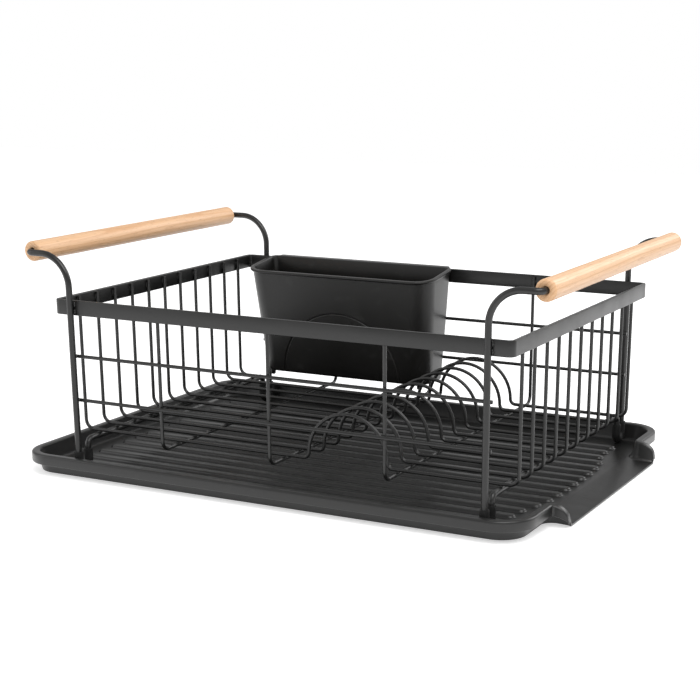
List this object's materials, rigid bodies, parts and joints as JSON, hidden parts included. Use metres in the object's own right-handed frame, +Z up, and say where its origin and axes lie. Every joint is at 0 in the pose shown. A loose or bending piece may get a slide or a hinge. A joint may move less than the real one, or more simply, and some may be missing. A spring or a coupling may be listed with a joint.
{
  "type": "dish drying rack",
  "caption": "Wire dish rack with wood grips, plate arches and a hanging cutlery caddy, lifted out of a ribbed drip tray with a pouring spout.",
  "frame": {"origin": "on the table, under the middle of the tray and its spout", "axes": "+X along the rack towards the pouring spout, +Y from the front to the caddy side, +Z up"},
  "size_m": [0.487, 0.3486, 0.1995],
  "materials": {
    "powder_coat": "satin black powder coat",
    "grip_wood": "clear lacquered beech",
    "tray_plastic": "satin moulded black",
    "caddy_plastic": "satin moulded black",
    "rubber": "matt"
  },
  "bodies": {
    "tray": {"drip_tray": "tray_plastic", "tray_feet": "rubber"},
    "rack": {"rim_band": "powder_coat", "left_end_loop": "powder_coat", "right_end_loop": "powder_coat", "floor_rail_left": "powder_coat", "floor_rail_middle": "powder_coat", "floor_rail_right": "powder_coat", "front_upper_rail": "powder_coat", "front_lower_rail": "powder_coat", "back_upper_rail": "powder_coat", "back_lower_rail": "powder_coat", "cross_wire_01": "powder_coat", "cross_wire_02": "powder_coat", "cross_wire_03": "powder_coat", "cross_wire_04": "powder_coat", "cross_wire_05": "powder_coat", "cross_wire_06": "powder_coat", "cross_wire_07": "powder_coat", "cross_wire_08": "powder_coat", "cross_wire_09": "powder_coat", "cross_wire_10": "powder_coat", "cross_wire_11": "powder_coat", "left_front_foot_boot": "rubber", "left_back_foot_boot": "rubber", "right_front_foot_boot": "rubber", "right_back_foot_boot": "rubber"},
    "caddy": {"cutlery_caddy": "caddy_plastic"},
    "left_handle": {"left_grip": "grip_wood"},
    "right_handle": {"right_grip": "grip_wood"}
  },
  "joints": [
    {"name": "rack_lift", "type": "slide", "parent": "tray", "child": "rack", "axis": [0, 0, 1], "range_m": [0, 0.06]},
    {"name": "caddy_lift", "type": "slide", "parent": "rack", "child": "caddy", "axis": [0, 0, 1], "range_m": [0, 0.125]},
    {"name": "left_grip_turn", "type": "hinge", "parent": "rack", "child": "left_handle", "pos_m": [-0.229, 0, 0.191], "axis": [0, 1, 0], "continuous": true},
    {"name": "right_grip_turn", "type": "hinge", "parent": "rack", "child": "right_handle", "pos_m": [0.235, 0, 0.191], "axis": [0, 1, 0], "continuous": true}
  ]
}
